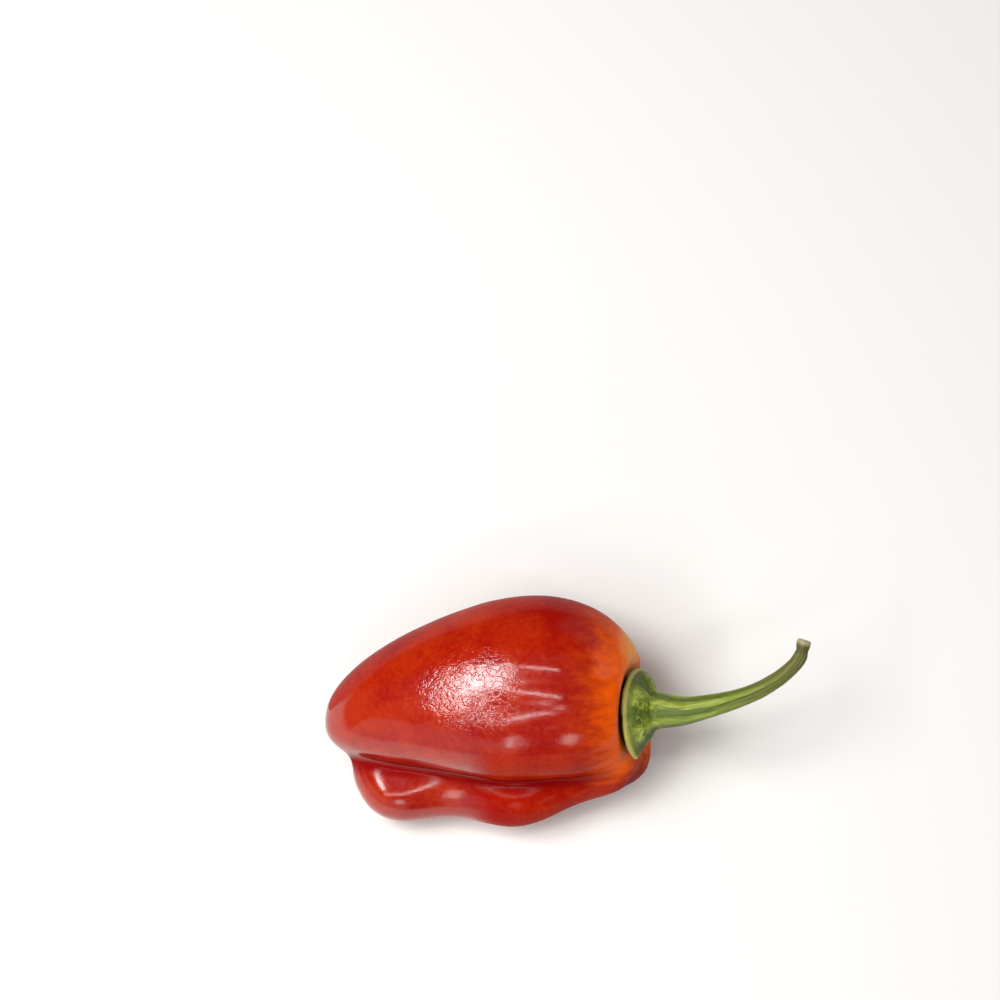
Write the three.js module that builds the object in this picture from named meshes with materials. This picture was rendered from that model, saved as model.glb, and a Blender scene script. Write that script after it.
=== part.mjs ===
// A red lantern-shaped chilli pepper as picked, lying on its side: a lobed pod, and the green calyx with its
// stalk. Millimetres. +X runs towards the stalk, +Y to the far side, +Z up. The pod rests on z = 0, and the
// origin is under the middle of the whole fruit.
import * as THREE from 'three';

// Driving dimensions. The pod's own frame has its origin on the pod's axis, POD_AXIS above the table.
const POD_AXIS = new THREE.Vector3(-9.95, -0.35, 12.0);
const TABLE = -POD_AXIS.z;

// The pod is a blend of egg-shaped lobes. centre and half are a lobe's middle and its half-sizes along x, y
// and z. taper widens it towards the stalk (first value) and towards both ends (second). bendY and bendZ shift
// its axis in the same two ways. tipPower, stemPower and roundPower say how blunt its two ends and its section
// are: 2 is round. Beyond LOBE_REACH half-lengths from its middle, a lobe bends and widens no further.
const LOBES = {
  upper: {
    centre: [-0.3, 3.6, 1.2], half: [21.0, 10.5, 10.6], taper: [0.36, 0.13],
    bendY: [2.4, -1.8], bendZ: [2.0, -2.2], tipPower: 2.3, stemPower: 1.72, roundPower: 2.1,
  },
  flank: {
    centre: [3.2, -2.4, 2.3], half: [14.2, 6.6, 7.3], taper: [0.0, 0.0],
    bendY: [0.3, -1.1], bendZ: [0.6, -0.8], tipPower: 1.45, stemPower: 2.5, roundPower: 2.1,
  },
  front: {
    centre: [0.7, -5.9, -6.9], half: [18.6, 7.8, 5.5], taper: [-0.03, 0.06],
    bendY: [-0.3, 1.4], bendZ: [1.8, 1.8], tipPower: 3.8, stemPower: 2.3, roundPower: 2.1,
  },
  rear: {
    centre: [1.0, 6.6, -5.5], half: [17.4, 7.0, 6.9], taper: [0.08, 0.0],
    bendY: [0.8, -1.4], bendZ: [0.8, 0.4], tipPower: 2.4, stemPower: 2.4, roundPower: 2.2,
  },
  base: {
    centre: [3.4, 0.9, -5.2], half: [18.2, 7.4, 5.0], taper: [0.1, 0.0],
    bendY: [-3.9, 0.0], bendZ: [-1.9, 0.0], tipPower: 2.4, stemPower: 3.0, roundPower: 2.1,
  },
};
const LOBE_REACH = 1.1;

// How wide the joins are rounded: between the upper lobe and its flank, everywhere else, and how much wider
// the front lobe's join grows over a stretch of x, where it runs out into the shoulder.
const TOP_BLEND = 1.5;
const LOBE_BLEND = 0.45;
const SHOULDER_BLEND = { more: 0.5, over: [8, 17] };

// Long creases between the lobes: the turn about the axis and the half-width in degrees (0 is +Y, 90 is up),
// the depth, and the stretches of x over which each one deepens from the tip side and shallows by the stalk.
const CREASES = [
  { turn: -14, width: 10, depth: 1.3, opens: [-17, -4], closes: [24, 16] },
  { turn: 15, width: 8, depth: 0.35, opens: [-6, 8], closes: [24, 16] },
  { turn: -104, width: 12, depth: 1.0, opens: [-18, -8], closes: [22, 15] },
];

// Shallow ribs on the upper lobe, round on top and sharp between. They close up towards the stalk and soften on
// the viewer's side. Below them comes the slow wave along the front lobe.
const RIB = {
  height: 0.1, turn: 96.5, pitch: 17, narrowing: 4.5, narrows: [0, 9], sharpness: 0.15,
  soft: 0.2, full: [80, 68], near: [68, 78], far: [126, 110], opens: [-4, 5], closes: [18, 12],
};
const WAVE = { height: 0.42, crest: 4.0, length: 16.5, side: [-7.5, -12], top: [3, -2] };

// The bowl in the stalk end that the calyx sits in: part of an ellipsoid whose axis tilts up with the stalk, and
// swings a little to the viewer's side.
const SEAT = { place: new THREE.Vector3(17.85, -0.1, 0.8), tilt: 22, swing: 5, radius: 8.6, depth: 5, blend: 0.3 };

// The skin is found along rays that leave a short slanted spine inside the pod.
const SPINE = { middle: new THREE.Vector3(0.5, -0.3, -3.2), half: new THREE.Vector3(9.5, 0.3, 1.2) };
const RAY = { reach: 28, steps: 52, halvings: 22 };
const POD_GRID = { rows: 52, columns: 84 };

// Calyx and stalk: the clear gap to the pod, the plate with its rounded rim (swing is the turn of the rim's
// section in degrees), the flare, and the stalk's thickness and course from the seat's middle.
const CALYX = { gap: 0.43, radius: 5.45, thickness: 0.66, swing: [-60, 90], lobes: 5, lobeHeight: 0.12 };
const FLARE = { end: 4.6, fall: 1.5, ridge: 0.25, shoulderPower: 6 };
// The rim has a larger tooth, with a notch beside it. The plate droops over the pod's edge by the tooth: it sags
// by a power of its radius, and by the full height at the droop's own radius.
const RIM = {
  tooth: { height: 1.2, turn: 182, width: 17 },
  notch: { height: -2.0, turn: 216, width: 21 },
  droop: { height: -0.4, turn: 174, width: 28, radius: 6.5, power: 4 },
  ripple: { height: 0.08, waves: 7, shift: 1 },
};
const STALK = { radius: 0.72, swell: 2.6, swellLength: 9.0, ridge: 0.07, ridgeTip: 0.03, twist: 0.03 };
const STALK_TIP = {
  knob: 0.1, knobFrom: 0.5, neck: 0.08, neckFrom: 1.5, neckWidth: 0.35, round: 0.35, flat: 0.6, swings: [35, 70],
};
const STALK_COURSE = [
  [17.85, -0.1, 0.8], [21.54, -0.42, 2.3], [25.2, -0.72, 3.65], [28.8, -0.25, 4.9], [32.0, 0.5, 5.9],
  [35.3, 1.7, 6.9], [38.0, 3.4, 7.8], [39.8, 5.3, 8.5], [40.5, 7.6, 9.1],
];
const CALYX_GRID = { columns: 30, under: 5, underPower: 0.8, edge: 4, plate: 12, stalk: 34 };

const SKIN_RED = { color: 0xb3200f, roughness: 0.28, metalness: 0 };
const STALK_GREEN = { color: 0x82952f, roughness: 0.6, metalness: 0 };

const TURN = 2 * Math.PI;
const radians = THREE.MathUtils.degToRad;
const clamp = THREE.MathUtils.clamp;

// Rises smoothly from 0 at start to 1 at full; start may be the larger one.
function fade(value, [start, full]) {
  const t = clamp((value - start) / (full - start), 0, 1);
  return t * t * (3 - 2 * t);
}

function smoothMin(values, width) {
  const low = Math.min(...values);
  const spread = values.reduce((sum, value) => sum + Math.exp((low - value) / width), 0);
  return low - width * Math.log(spread);
}

function smoothMax(a, b, width) {
  return Math.max(a, b) + width * Math.log1p(Math.exp(-Math.abs(a - b) / width));
}

// How far a point is outside a lobe: near the lobe's skin this is close to a distance.
function outsideLobe(lobe, p) {
  const [halfX, halfY, halfZ] = lobe.half;
  const along = (p.x - lobe.centre[0]) / halfX;
  const t = clamp(along, -LOBE_REACH, LOBE_REACH);
  const width = 1 + lobe.taper[0] * t + lobe.taper[1] * t * t;
  const y = p.y - lobe.centre[1] - lobe.bendY[0] * t - lobe.bendY[1] * t * t;
  const z = p.z - lobe.centre[2] - lobe.bendZ[0] * t - lobe.bendZ[1] * t * t;
  const round = lobe.roundPower;
  const end = along < 0 ? lobe.tipPower : lobe.stemPower;
  const [shareY, shareZ] = [Math.abs(y / (halfY * width)), Math.abs(z / (halfZ * width))];
  const across = (shareY ** round + shareZ ** round) ** (1 / round);
  const share = (Math.abs(along) ** end + across ** end) ** (1 / end) - 1;
  return share * width * Math.min(halfY, halfZ);
}

// How far the ribs, the wave and the creases lift the skin (a crease lowers it).
function relief(p) {
  const turn = THREE.MathUtils.radToDeg(Math.atan2(p.z, p.y));
  const ribPlace = fade(turn, RIB.near) * fade(turn, RIB.far) * fade(p.x, RIB.opens) * fade(p.x, RIB.closes);
  const ribStrength = RIB.soft + (1 - RIB.soft) * fade(turn, RIB.full);
  const phase = (turn - RIB.turn) / (RIB.pitch - RIB.narrowing * fade(p.x, RIB.narrows));
  const wall = Math.hypot(Math.sin(Math.PI * phase), RIB.sharpness);
  const ribs = RIB.height * (2 * wall - 1) * ribPlace * ribStrength;
  const wavePlace = fade(p.y, WAVE.side) * fade(p.z, WAVE.top);
  const wave = WAVE.height * Math.cos(TURN * (p.x - WAVE.crest) / WAVE.length) * wavePlace;
  let creases = 0;
  for (const crease of CREASES) {
    const across = (turn - crease.turn) / crease.width;
    creases += crease.depth * Math.exp(-across * across) * fade(p.x, crease.opens) * fade(p.x, crease.closes);
  }
  return ribs + wave - creases;
}

const UP = new THREE.Vector3(0, 0, 1);
const SEAT_AXIS = new THREE.Vector3(Math.cos(radians(SEAT.tilt)), 0, Math.sin(radians(SEAT.tilt)));
SEAT_AXIS.applyAxisAngle(UP, -radians(SEAT.swing));

// How far a point is outside the ellipsoid that hollows the stalk end.
function outsideSeat(p) {
  const offset = p.clone().sub(SEAT.place);
  const height = offset.dot(SEAT_AXIS);
  const acrossSquared = Math.max(offset.lengthSq() - height * height, 0);
  const share = Math.sqrt(acrossSquared / SEAT.radius ** 2 + ((height - SEAT.depth) / SEAT.depth) ** 2) - 1;
  return share * SEAT.depth;
}

function outsidePod(p) {
  const top = smoothMin([outsideLobe(LOBES.upper, p), outsideLobe(LOBES.flank, p)], TOP_BLEND);
  const shoulderBlend = LOBE_BLEND + SHOULDER_BLEND.more * fade(p.x, SHOULDER_BLEND.over);
  const nearSide = smoothMin([top, outsideLobe(LOBES.front, p)], shoulderBlend);
  const lobes = [nearSide, outsideLobe(LOBES.rear, p), outsideLobe(LOBES.base, p)];
  return smoothMax(smoothMin(lobes, LOBE_BLEND) - relief(p), -outsideSeat(p), SEAT.blend);
}

// March out along a ray to the first place outside the pod, then halve the last step.
function skinPoint(origin, direction) {
  const at = (distance) => origin.clone().addScaledVector(direction, distance);
  const step = RAY.reach / RAY.steps;
  let outer = step;
  while (outer < RAY.reach && outsidePod(at(outer)) <= 0) {
    outer += step;
  }
  let inner = outer - step;
  for (let i = 0; i < RAY.halvings; i += 1) {
    const middle = (inner + outer) / 2;
    if (outsidePod(at(middle)) > 0) {
      outer = middle;
    } else {
      inner = middle;
    }
  }
  const point = at(inner);
  point.z = Math.max(point.z, TABLE);
  return point;
}

// A closed surface from rings of points that all turn the same way about the direction from first to last.
// The first and the last ring are single points.
function closedSurface(rings) {
  const columns = rings[1].length;
  const positions = rings.flat().flatMap((point) => point.toArray());
  const vertex = (ring, column) => {
    if (ring === 0) {
      return 0;
    }
    if (ring === rings.length - 1) {
      return 1 + (rings.length - 2) * columns;
    }
    return 1 + (ring - 1) * columns + (column % columns);
  };
  const faces = [];
  for (let ring = 0; ring < rings.length - 1; ring += 1) {
    for (let column = 0; column < columns; column += 1) {
      const [a, b] = [vertex(ring, column), vertex(ring, column + 1)];
      const [c, d] = [vertex(ring + 1, column), vertex(ring + 1, column + 1)];
      if (ring > 0) {
        faces.push(a, b, d);
      }
      if (ring < rings.length - 2) {
        faces.push(a, d, c);
      }
    }
  }
  const geometry = new THREE.BufferGeometry();
  geometry.setAttribute('position', new THREE.Float32BufferAttribute(positions, 3));
  geometry.setIndex(faces);
  geometry.computeVertexNormals();
  return geometry;
}

// The pod: rings of skin points, from the tip to the middle of the seat.
function podGeometry() {
  const rings = [];
  for (let row = 0; row < POD_GRID.rows; row += 1) {
    const swing = Math.PI * (1 - row / (POD_GRID.rows - 1));
    const pole = row === 0 || row === POD_GRID.rows - 1;
    const ring = [];
    for (let column = 0; column < (pole ? 1 : POD_GRID.columns); column += 1) {
      const turn = TURN * column / POD_GRID.columns;
      const across = pole ? 0 : Math.sin(swing);
      const direction = new THREE.Vector3(Math.cos(swing), across * Math.cos(turn), across * Math.sin(turn));
      const origin = SPINE.middle.clone().addScaledVector(SPINE.half, Math.cos(swing));
      ring.push(skinPoint(origin, direction));
    }
    rings.push(ring);
  }
  return closedSurface(rings);
}

// The seat's height over its middle at a distance from the seat's axis.
function bowl(radius) {
  return SEAT.depth * (1 - Math.sqrt(1 - (radius / SEAT.radius) ** 2));
}

// The calyx and stalk: rings about the stalk's course. Each ring gives a radius and a height along the course
// for a turn about it, where 0 is towards +Y and 90 degrees is up.
function calyxAndStalkGeometry() {
  const knots = STALK_COURSE.map((place) => new THREE.Vector3(...place));
  const course = new THREE.CatmullRomCurve3(knots, false, 'catmullrom');
  course.arcLengthDivisions = 600;
  const length = course.getLength();
  const ridge = (turn) => Math.cos(CALYX.lobes * turn);

  // The plate's radius to the middle of its rounded rim, and the height of its underside.
  const bump = (turn, { height, turn: middle, width }) => {
    const from = (THREE.MathUtils.radToDeg(turn) - middle) / width;
    return height * Math.exp(-from * from);
  };
  const rim = (turn) => {
    const ripple = RIM.ripple.height * Math.cos(RIM.ripple.waves * turn + RIM.ripple.shift);
    const waves = CALYX.lobeHeight * ridge(turn) + ripple;
    return CALYX.radius + waves + bump(turn, RIM.tooth) + bump(turn, RIM.notch) - CALYX.thickness / 2;
  };
  const underside = (turn, radius) => {
    const sag = bump(turn, RIM.droop) * (radius / RIM.droop.radius) ** RIM.droop.power;
    return bowl(radius) + CALYX.gap + sag;
  };

  const stalkRadius = (height) => {
    const knob = (length - height - STALK_TIP.knobFrom) / STALK_TIP.knobFrom;
    const neck = (length - height - STALK_TIP.neckFrom) / STALK_TIP.neckWidth;
    const tip = STALK_TIP.knob * Math.exp(-knob * knob) - STALK_TIP.neck * Math.exp(-neck * neck);
    return STALK.radius + STALK.swell * Math.exp(-height / STALK.swellLength) + tip;
  };

  const stalkAt = (height) => (turn) => {
    const share = (height - FLARE.end) / (length - FLARE.end);
    const depth = STALK.ridge + (STALK.ridgeTip - STALK.ridge) * share;
    const twisted = CALYX.lobes * turn - STALK.twist * (height - FLARE.end);
    return [stalkRadius(height) * (1 + depth * Math.cos(twisted)), height];
  };

  const rows = [];
  for (let i = 1; i <= CALYX_GRID.under; i += 1) {
    const share = (i / CALYX_GRID.under) ** CALYX_GRID.underPower;
    rows.push((turn) => [share * rim(turn), underside(turn, share * rim(turn))]);
  }
  for (let i = 0; i <= CALYX_GRID.edge; i += 1) {
    const swing = radians(THREE.MathUtils.lerp(...CALYX.swing, i / CALYX_GRID.edge));
    const half = CALYX.thickness / 2;
    rows.push((turn) => [
      rim(turn) + half * Math.cos(swing),
      underside(turn, rim(turn)) + half * (1 + Math.sin(swing)),
    ]);
  }
  // The flare falls from the stalk with the root of the distance, and ends in a rounded shoulder by the rim.
  for (let i = 1; i <= CALYX_GRID.plate; i += 1) {
    const left = 1 - i / CALYX_GRID.plate;
    rows.push((turn) => {
      const rimTop = underside(turn, rim(turn)) + CALYX.thickness;
      const shoulder = FLARE.end - FLARE.fall - rimTop;
      const lift = FLARE.ridge * ridge(turn) * (27 / 4) * left * left * (1 - left);
      const height = FLARE.end - FLARE.fall * left - shoulder * left ** FLARE.shoulderPower + lift;
      const inner = stalkRadius(height) * (1 + STALK.ridge * ridge(turn));
      return [inner + (rim(turn) - inner) * left * left, height];
    });
  }
  const shaftEnd = length - STALK_TIP.round;
  for (let i = 1; i <= CALYX_GRID.stalk; i += 1) {
    rows.push(stalkAt(THREE.MathUtils.lerp(FLARE.end, shaftEnd, i / CALYX_GRID.stalk)));
  }
  for (const degrees of STALK_TIP.swings) {
    const swing = radians(degrees);
    const narrow = STALK_TIP.flat + (1 - STALK_TIP.flat) * Math.cos(swing);
    rows.push((turn) => [
      stalkAt(shaftEnd)(turn)[0] * narrow,
      shaftEnd + STALK_TIP.round * Math.sin(swing),
    ]);
  }

  const place = ([radius, height], turn) => {
    const share = clamp(height / length, 0, 1);
    const direction = course.getTangentAt(share);
    const side = UP.clone().cross(direction).normalize();
    const up = direction.clone().cross(side);
    const point = course.getPointAt(share);
    return point.addScaledVector(side, radius * Math.cos(turn)).addScaledVector(up, radius * Math.sin(turn));
  };
  const turns = Array.from({ length: CALYX_GRID.columns }, (_, column) => TURN * column / CALYX_GRID.columns);
  const rings = rows.map((row) => turns.map((turn) => place(row(turn), turn)));
  return closedSurface([[place([0, CALYX.gap], 0)], ...rings, [place([0, length], 0)]]);
}

function piece(name, geometry, finish) {
  const mesh = new THREE.Mesh(geometry, new THREE.MeshStandardMaterial(finish));
  mesh.name = name;
  return mesh;
}

const chilli = new THREE.Group();
chilli.position.copy(POD_AXIS);
chilli.add(piece('pod', podGeometry(), SKIN_RED));
chilli.add(piece('calyx_and_stalk', calyxAndStalkGeometry(), STALK_GREEN));

export default chilli;
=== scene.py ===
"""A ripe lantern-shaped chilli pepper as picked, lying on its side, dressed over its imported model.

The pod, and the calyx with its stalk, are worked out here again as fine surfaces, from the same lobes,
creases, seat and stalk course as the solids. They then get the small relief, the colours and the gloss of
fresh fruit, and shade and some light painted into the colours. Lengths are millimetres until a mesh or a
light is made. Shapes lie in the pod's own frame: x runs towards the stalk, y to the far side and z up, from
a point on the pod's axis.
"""
import logging
import math
from dataclasses import dataclass
from enum import Enum

import bpy
import numpy as np
from mathutils import Matrix, Quaternion, Vector


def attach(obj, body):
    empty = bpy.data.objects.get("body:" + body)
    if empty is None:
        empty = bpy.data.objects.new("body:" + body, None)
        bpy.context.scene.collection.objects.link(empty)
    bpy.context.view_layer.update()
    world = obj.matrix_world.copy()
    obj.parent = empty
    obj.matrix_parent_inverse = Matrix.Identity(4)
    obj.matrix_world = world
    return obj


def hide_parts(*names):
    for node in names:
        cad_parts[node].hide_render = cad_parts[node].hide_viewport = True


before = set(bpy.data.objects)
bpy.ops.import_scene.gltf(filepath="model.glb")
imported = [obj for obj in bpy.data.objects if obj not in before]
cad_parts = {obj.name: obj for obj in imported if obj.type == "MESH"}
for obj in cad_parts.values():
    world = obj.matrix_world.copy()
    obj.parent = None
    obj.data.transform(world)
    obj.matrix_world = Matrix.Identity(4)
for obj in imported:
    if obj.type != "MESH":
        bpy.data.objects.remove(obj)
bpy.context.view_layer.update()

log = logging.getLogger("chilli")

MM = 0.001
TURN = 2.0 * math.pi
POD_AXIS = (-9.95, -0.35, 12.0)
TABLE = -POD_AXIS[2]

# A lobe's taper and bend stay as they are past this share of its half-length.
LOBE_REACH = 1.1
# The bowl's formula holds up to this share of its radius.
BOWL_REACH = 0.999
# Keeps a division by a length away from 0.
LEAST_LENGTH = 1e-9
# Brings the top of the hump t^2 (1 - t) to 1.
HUMP = 27.0 / 4.0

Array = np.ndarray
Point = tuple[float, float, float]
Colour = tuple[float, float, float, float]
Span = tuple[float, float]
Spans = tuple[Span, ...]


class Slot(Enum):
    """The record's material slots."""

    SKIN = "skin"
    STALK = "stalk"


class Seed(Enum):
    """Seeds of the random unevenness."""

    SWELLS = 11
    PUCKERS = 12
    LUMPS = 21
    WRINKLES = 22
    KNOTS = 23


def srgb(red: int, green: int, blue: int) -> Colour:
    """Turns an 8-bit display colour into the linear colour that a shader takes.

    Args:
        red: Red from 0 to 255.
        green: Green from 0 to 255.
        blue: Blue from 0 to 255.

    Returns:
        Linear red, green and blue, and an alpha of 1.
    """
    def linear(value: int) -> float:
        """Undoes the display curve of one channel."""
        share = value / 255
        return share / 12.92 if share <= 0.04045 else ((share + 0.055) / 1.055) ** 2.4

    return linear(red), linear(green), linear(blue), 1.0


def fade(values: Array, start: float, full: float) -> Array:
    """Rises smoothly from 0 at start to 1 at full: 3t^2 - 2t^3 of the share t of the way, held in 0 to 1.

    Args:
        values: Where to take it.
        start: The value where it is 0, which may be the larger one.
        full: The value where it is 1.

    Returns:
        The share at each value.
    """
    t = np.clip((values - start) / (full - start), 0.0, 1.0)
    return t * t * (3.0 - 2.0 * t)


def within(values: tuple[Array, ...], spans: Spans) -> Array:
    """Where several values are all past their spans: the product of a fade of each.

    Args:
        values: Arrays of one shape.
        spans: The start and the full value of each fade.

    Returns:
        From 0 to 1 at each place.
    """
    return math.prod(fade(value, *span) for value, span in zip(values, spans))


def smooth_min(values: list[Array], width: Array | float) -> Array:
    """The least of several arrays with rounded joins.

    It is minus width times the log of the sum of exp(-value / width).

    Args:
        values: Arrays of one shape.
        width: How wide a join is rounded.

    Returns:
        The blended least values.
    """
    low = np.minimum.reduce(values)
    return low - width * np.log(sum(np.exp((low - value) / width) for value in values))


def smooth_max(first: Array, second: Array, width: float) -> Array:
    """The larger of two arrays with a rounded join.

    It is the larger one plus width times log(1 + exp(-difference / width)).

    Args:
        first: One array.
        second: The other array.
        width: How wide the join is rounded.

    Returns:
        The blended larger values.
    """
    return np.maximum(first, second) + width * np.log1p(np.exp(-np.abs(first - second) / width))


def degrees_round(turn: Array) -> Array:
    """Turns from radians to degrees, from 0 to 360."""
    return np.degrees(turn) % 360.0


def unevenness(points: Array, cell: float, seed: Seed) -> Array:
    """Smooth random unevenness: random numbers on a cubic lattice, blended between corners by 3t^2 - 2t^3.

    Args:
        points: Places, with x, y and z last.
        cell: The lattice's pitch.
        seed: Seeds the random numbers.

    Returns:
        A value from -1 to 1 at each place.
    """
    side = 32
    table = np.random.default_rng(seed.value).uniform(-1.0, 1.0, (side, side, side))
    scaled = points / cell
    low = np.floor(scaled).astype(int)
    share = scaled - low
    share = share * share * (3.0 - 2.0 * share)
    total = np.zeros(points.shape[:-1])
    for corner in range(8):
        step = np.array([corner & 1, corner >> 1 & 1, corner >> 2 & 1])
        weight = np.prod(np.where(step, share, 1.0 - share), axis=-1)
        x, y, z = np.moveaxis((low + step) % side, -1, 0)
        total += weight * table[x, y, z]
    return total


@dataclass(frozen=True)
class Bell:
    """A bell curve: its height, where its middle is, and its width."""

    height: float
    middle: float
    width: float

    def at(self, value: Array) -> Array:
        """The height times exp(-t^2), where t is the distance from the middle in widths."""
        return self.height * np.exp(-((value - self.middle) / self.width) ** 2)


@dataclass(frozen=True)
class Lobe:
    """An egg-shaped part of the pod.

    Its axis runs along x and bends, its section is a superellipse, and each end has its own bluntness. taper
    widens it, and bend_y and bend_z shift its axis, by t and by t^2, where t is the share of the way to the
    stalk's end.
    """

    centre: Point
    half: Point
    taper: tuple[float, float]
    bend_y: tuple[float, float]
    bend_z: tuple[float, float]
    tip_power: float
    stem_power: float
    round_power: float

    def outside(self, p: Array) -> Array:
        """How far points are outside the lobe; near its skin this is close to a distance.

        With s the share along the lobe and r the superellipse radius across it, it is
        ((s^m + r^m)^(1/m) - 1) times the lobe's lesser half-width, where m is the power of the nearer end.

        Args:
            p: Points, x, y and z last.

        Returns:
            Negative values inside the lobe and positive ones outside.
        """
        half_x, half_y, half_z = self.half
        along = (p[..., 0] - self.centre[0]) / half_x
        t = np.clip(along, -LOBE_REACH, LOBE_REACH)
        width = 1.0 + self.taper[0] * t + self.taper[1] * t * t
        y = p[..., 1] - self.centre[1] - self.bend_y[0] * t - self.bend_y[1] * t * t
        z = p[..., 2] - self.centre[2] - self.bend_z[0] * t - self.bend_z[1] * t * t
        n = self.round_power
        m = np.where(along < 0.0, self.tip_power, self.stem_power)
        across = (np.abs(y / (half_y * width)) ** n + np.abs(z / (half_z * width)) ** n) ** (1.0 / n)
        share = (np.abs(along) ** m + across ** m) ** (1.0 / m) - 1.0
        return share * width * min(half_y, half_z)


@dataclass(frozen=True)
class Crease:
    """A long furrow between lobes: a bell curve over the turn in degrees, faded in and out along x."""

    furrow: Bell
    stretch: Spans

    def depth_at(self, x: Array, turn: Array) -> Array:
        """The furrow's depth at places along x and at turns about the axis, in degrees."""
        return self.furrow.at(turn) * within((x, x), self.stretch)


@dataclass(frozen=True)
class Seat:
    """The bowl in the stalk end that the calyx sits in: part of an ellipsoid.

    Its axis is tilted up, and swings a little to the viewer's side.
    """

    place: Point = (17.85, -0.1, 0.8)
    tilt: float = 22.0
    swing: float = 5.0
    radius: float = 8.6
    depth: float = 5.0
    blend: float = 0.3

    def axis(self) -> Array:
        """The direction in which the calyx faces.

        Returns:
            A unit vector.
        """
        tilt, swing = math.radians(self.tilt), math.radians(self.swing)
        level = math.cos(tilt)
        return np.array([level * math.cos(swing), -level * math.sin(swing), math.sin(tilt)])

    def height_and_radius(self, p: Array) -> tuple[Array, Array]:
        """Measures points from the seat's axis.

        Args:
            p: Points, x, y and z last.

        Returns:
            Their heights along the axis, and their distances from it.
        """
        offset = p - np.array(self.place)
        height = offset @ self.axis()
        across = np.sqrt(np.maximum((offset ** 2).sum(-1) - height ** 2, 0.0))
        return height, across

    def turn(self, p: Array) -> Array:
        """Turns of points about the seat's axis: 0 is the far side, and a quarter turn is up.

        Args:
            p: Points, x, y and z last.

        Returns:
            Their turns in radians.
        """
        side = np.cross([0.0, 0.0, 1.0], self.axis())
        side /= np.linalg.norm(side)
        offset = p - np.array(self.place)
        return np.arctan2(offset @ np.cross(self.axis(), side), offset @ side)

    def outside(self, p: Array) -> Array:
        """How far points are outside the hollowing ellipsoid.

        Args:
            p: Points, x, y and z last.

        Returns:
            Negative values inside it and positive ones outside.
        """
        height, across = self.height_and_radius(p)
        share = np.sqrt((across / self.radius) ** 2 + ((height - self.depth) / self.depth) ** 2) - 1.0
        return share * self.depth

    def bowl(self, radius: Array) -> Array:
        """The bowl's height over its middle at a distance from its axis."""
        return self.depth * (1.0 - np.sqrt(1.0 - np.minimum(radius / self.radius, BOWL_REACH) ** 2))


@dataclass(frozen=True)
class Rim:
    """The calyx's edge: a circle with soft lobes and ripples, one larger tooth, and a notch beside it.

    The tooth and the notch are bell curves over the turn in degrees, and so is the droop, by which the plate
    bends over the pod's edge.
    """

    radius: float = 5.45
    lobes: int = 5
    lobe_height: float = 0.12
    ripples: int = 7
    ripple_height: float = 0.08
    ripple_start: float = 1.0
    tooth: Bell = Bell(1.2, 182.0, 17.0)
    notch: Bell = Bell(-2.0, 216.0, 21.0)
    droop: Bell = Bell(-0.4, 174.0, 28.0)
    droop_radius: float = 6.5
    droop_power: float = 4.0

    def radius_at(self, turn: Array) -> Array:
        """The edge's radius.

        Args:
            turn: Turns about the seat's axis, in radians.

        Returns:
            The radius at each turn.
        """
        degrees = degrees_round(turn)
        lobes = self.lobe_height * np.cos(self.lobes * turn)
        ripples = self.ripple_height * np.cos(self.ripples * turn + self.ripple_start)
        return self.radius + (lobes + ripples) + self.tooth.at(degrees) + self.notch.at(degrees)

    def sag(self, turn: Array, radius: Array) -> Array:
        """How far the plate bends over the pod's edge by the tooth: it grows with a power of the radius."""
        return self.droop.at(degrees_round(turn)) * (radius / self.droop_radius) ** self.droop_power


LOBES = {
    "upper": Lobe(
        (-0.3, 3.6, 1.2), (21.0, 10.5, 10.6), (0.36, 0.13), (2.4, -1.8), (2.0, -2.2), 2.3, 1.72, 2.1
    ),
    "flank": Lobe((3.2, -2.4, 2.3), (14.2, 6.6, 7.3), (0.0, 0.0), (0.3, -1.1), (0.6, -0.8), 1.45, 2.5, 2.1),
    "front": Lobe(
        (0.7, -5.9, -6.9), (18.6, 7.8, 5.5), (-0.03, 0.06), (-0.3, 1.4), (1.8, 1.8), 3.8, 2.3, 2.1
    ),
    "rear": Lobe((1.0, 6.6, -5.5), (17.4, 7.0, 6.9), (0.08, 0.0), (0.8, -1.4), (0.8, 0.4), 2.4, 2.4, 2.2),
    "base": Lobe((3.4, 0.9, -5.2), (18.2, 7.4, 5.0), (0.1, 0.0), (-3.9, 0.0), (-1.9, 0.0), 2.4, 3.0, 2.1),
}

CREASES = (
    Crease(Bell(1.3, -14.0, 10.0), ((-17.0, -4.0), (24.0, 16.0))),
    Crease(Bell(0.35, 15.0, 8.0), ((-6.0, 8.0), (24.0, 16.0))),
    Crease(Bell(1.0, -104.0, 12.0), ((-18.0, -8.0), (22.0, 15.0))),
)


def linked(name: str, data: bpy.types.ID) -> bpy.types.Object:
    """Makes an object of a mesh, a light or a camera and puts it in the scene.

    Args:
        name: The object's name.
        data: What it is made of.

    Returns:
        The object, at the origin.
    """
    piece = bpy.data.objects.new(name, data)
    bpy.context.scene.collection.objects.link(piece)
    return piece


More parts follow.
